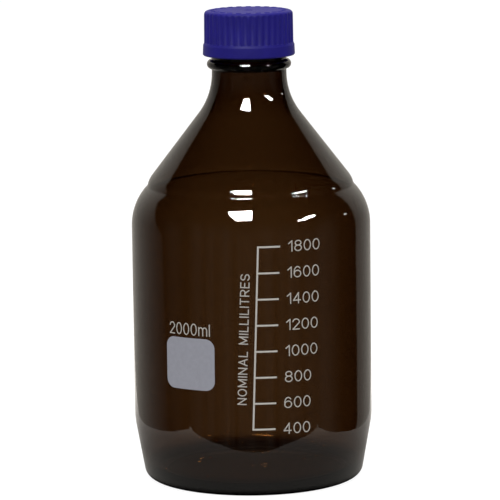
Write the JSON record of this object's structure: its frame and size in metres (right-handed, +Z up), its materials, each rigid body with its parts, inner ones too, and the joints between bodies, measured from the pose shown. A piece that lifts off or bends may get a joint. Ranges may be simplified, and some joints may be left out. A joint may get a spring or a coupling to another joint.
{
  "type": "reagent bottle",
  "caption": "Amber glass laboratory bottle with a conical shoulder, printed volume scale and writing field, closed by a ribbed blue screw cap that unscrews and lifts off.",
  "frame": {"origin": "middle of the standing ring, on the surface that the bottle stands on", "axes": "+Z up along the bottle's axis, -Y out of the printed front, +X to the right of the print"},
  "size_m": [0.136, 0.1361, 0.2681],
  "materials": {
    "amber_glass": "polished, dark amber",
    "blue_plastic": "satin moulded polypropylene",
    "white_film": "smooth matt film",
    "liner_silicone": "matt silicone",
    "white_enamel": "fired enamel, satin"
  },
  "bodies": {
    "bottle": {"glass_bottle": "amber_glass", "pouring_ring": "blue_plastic", "graduation_scale": "white_enamel", "graduation_numerals": "white_enamel", "capacity_mark": "white_enamel", "writing_field": "white_enamel", "unit_legend": "white_enamel"},
    "seal": {"seal_liner": "liner_silicone", "liner_facing": "white_film"},
    "cap": {"screw_cap": "blue_plastic"}
  },
  "joints": [
    {"name": "cap_rise", "type": "slide", "parent": "bottle", "child": "seal", "axis": [0, 0, 1], "range_m": [0, 0.0281]},
    {"name": "cap_turn", "type": "hinge", "parent": "seal", "child": "cap", "pos_m": [0, 0, 0.255], "axis": [0, 0, 1], "range_deg": [0, 2520]}
  ],
  "couplings": [
    {"joint": "cap_rise", "follows": "cap_turn", "m_per_rad": 0.00063662}
  ]
}
